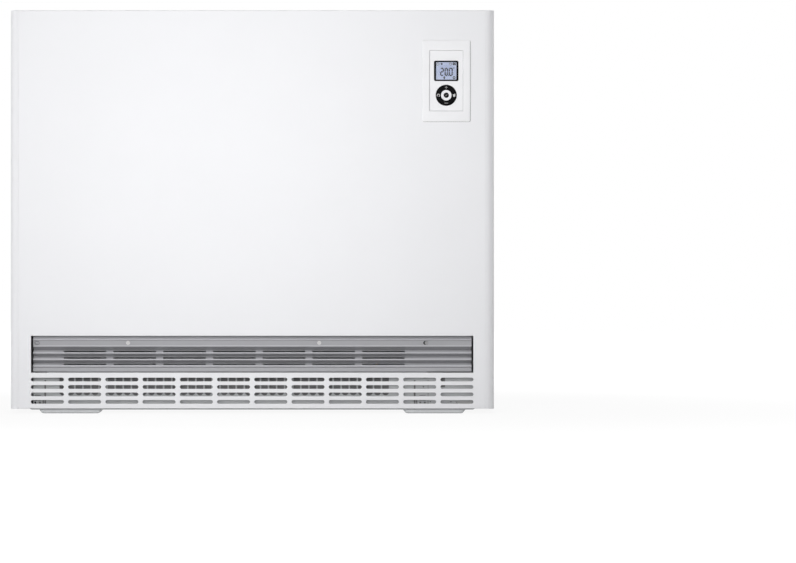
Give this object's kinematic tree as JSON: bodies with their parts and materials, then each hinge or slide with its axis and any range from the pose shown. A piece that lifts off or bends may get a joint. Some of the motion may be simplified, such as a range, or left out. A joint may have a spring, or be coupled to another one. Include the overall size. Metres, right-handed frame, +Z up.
{
  "type": "storage heater",
  "caption": "Free-standing electric storage heater: flat white casing, slotted intake, ribbed air outlet at the foot, and a small display with a ring key at the upper right.",
  "frame": {"origin": "on the floor under the middle of the heater's bounding box, wall brackets included", "axes": "+X to the right seen from the front, +Y from the front to the wall, +Z up"},
  "size_m": [0.78, 0.275, 0.65],
  "materials": {
    "white_enamel": "satin",
    "grey_enamel": "satin",
    "galvanised_steel": "satin",
    "bright_steel": "polished",
    "aluminium": "satin",
    "sintered_bronze": "satin",
    "bimetal": "satin",
    "motor_iron": "matte",
    "copper_winding": "satin",
    "magnetite_brick": "matte",
    "element_steel": "matte",
    "insulation_wool": "matte",
    "filter_mesh": "matte",
    "terminal_plastic": "satin",
    "dark_plastic": "matte",
    "circuit_board": "satin",
    "reset_plastic": "satin",
    "rubber": "matte",
    "light_plastic": "satin",
    "white_plastic": "satin",
    "display_glass": "gloss",
    "display_lcd": "satin",
    "grey_plastic": "satin",
    "black_plastic": "satin"
  },
  "bodies": {
    "heater": {"front_panel": "white_enamel", "side_panel_left": "white_enamel", "side_panel_right": "white_enamel", "top_cover": "white_enamel", "outlet_grille": "grey_enamel", "base_pan": "galvanised_steel", "foot_left": "galvanised_steel", "foot_right": "galvanised_steel", "chassis_left": "galvanised_steel", "chassis_right": "galvanised_steel", "core_tray": "galvanised_steel", "riser_wall": "galvanised_steel", "duct_floor": "galvanised_steel", "intake_plate": "galvanised_steel", "fan_scrolls": "galvanised_steel", "fan_plates": "galvanised_steel", "damper_brackets": "galvanised_steel", "inner_front_sheet": "galvanised_steel", "switch_panel": "galvanised_steel", "rear_panel": "galvanised_steel", "wall_brackets": "galvanised_steel", "casing_screws": "bright_steel", "core_sensor": "bright_steel", "fan_bearings": "sintered_bronze", "bimetal_coil": "bimetal", "motor_stator": "motor_iron", "motor_coil": "copper_winding", "bricks_base": "magnetite_brick", "bricks_middle": "magnetite_brick", "bricks_top": "magnetite_brick", "heating_elements": "element_steel", "insulation_bottom": "insulation_wool", "insulation_top": "insulation_wool", "insulation_left": "insulation_wool", "insulation_right": "insulation_wool", "insulation_front": "insulation_wool", "insulation_rear": "insulation_wool", "lint_filter": "filter_mesh", "mains_terminal_block": "terminal_plastic", "load_contactor": "dark_plastic", "safety_cutout": "dark_plastic", "control_board": "circuit_board", "key_board": "circuit_board", "cable_grommet": "rubber", "control_frame": "white_plastic", "control_housing": "white_plastic", "display_window": "display_glass", "display_panel": "display_lcd"},
    "fan_rotor": {"fan_shaft": "bright_steel", "fan_drum_left": "aluminium", "fan_drum_right": "aluminium", "motor_armature": "motor_iron"},
    "damper": {"damper_flap": "galvanised_steel", "damper_shaft": "bright_steel"},
    "lock_left": {"lock_left": "light_plastic"},
    "lock_right": {"lock_right": "light_plastic"},
    "reset_button": {"reset_button": "reset_plastic"},
    "key_carrier": {"key_carrier": "grey_plastic"},
    "key_ring": {"key_ring": "black_plastic"},
    "key_ok": {"key_ok": "white_plastic"}
  },
  "joints": [
    {"name": "fan_spin", "type": "hinge", "parent": "heater", "child": "fan_rotor", "pos_m": [-0.0515, -0.0863, 0.03575], "axis": [1, 0, 0], "continuous": true},
    {"name": "damper_swing", "type": "hinge", "parent": "heater", "child": "damper", "pos_m": [-0.035, 0.0015, 0.0695], "axis": [-1, 0, 0], "range_deg": [0, 55]},
    {"name": "lock_left_turn", "type": "hinge", "parent": "heater", "child": "lock_left", "pos_m": [-0.2005, -0.13, 0.11365], "axis": [0, 1, 0], "range_deg": [0, 90]},
    {"name": "lock_right_turn", "type": "hinge", "parent": "heater", "child": "lock_right", "pos_m": [0.1079, -0.13, 0.11365], "axis": [0, 1, 0], "range_deg": [0, 90]},
    {"name": "reset_press", "type": "slide", "parent": "heater", "child": "reset_button", "axis": [0, 1, 0], "range_m": [0, 0.002], "stiffness_N_per_m": 1500},
    {"name": "key_rock_upright", "type": "hinge", "parent": "heater", "child": "key_carrier", "pos_m": [0.3128, -0.13215, 0.5129], "axis": [1, 0, 0], "range_deg": [-2, 2], "stiffness_Nm_per_rad": 0.8},
    {"name": "key_rock_sideways", "type": "hinge", "parent": "key_carrier", "child": "key_ring", "pos_m": [0.3128, -0.133, 0.5129], "axis": [0, 0, 1], "range_deg": [-2, 2], "stiffness_Nm_per_rad": 0.8},
    {"name": "ok_press", "type": "slide", "parent": "heater", "child": "key_ok", "axis": [0, 1, 0], "range_m": [0, 0.0005], "stiffness_N_per_m": 2000}
  ]
}
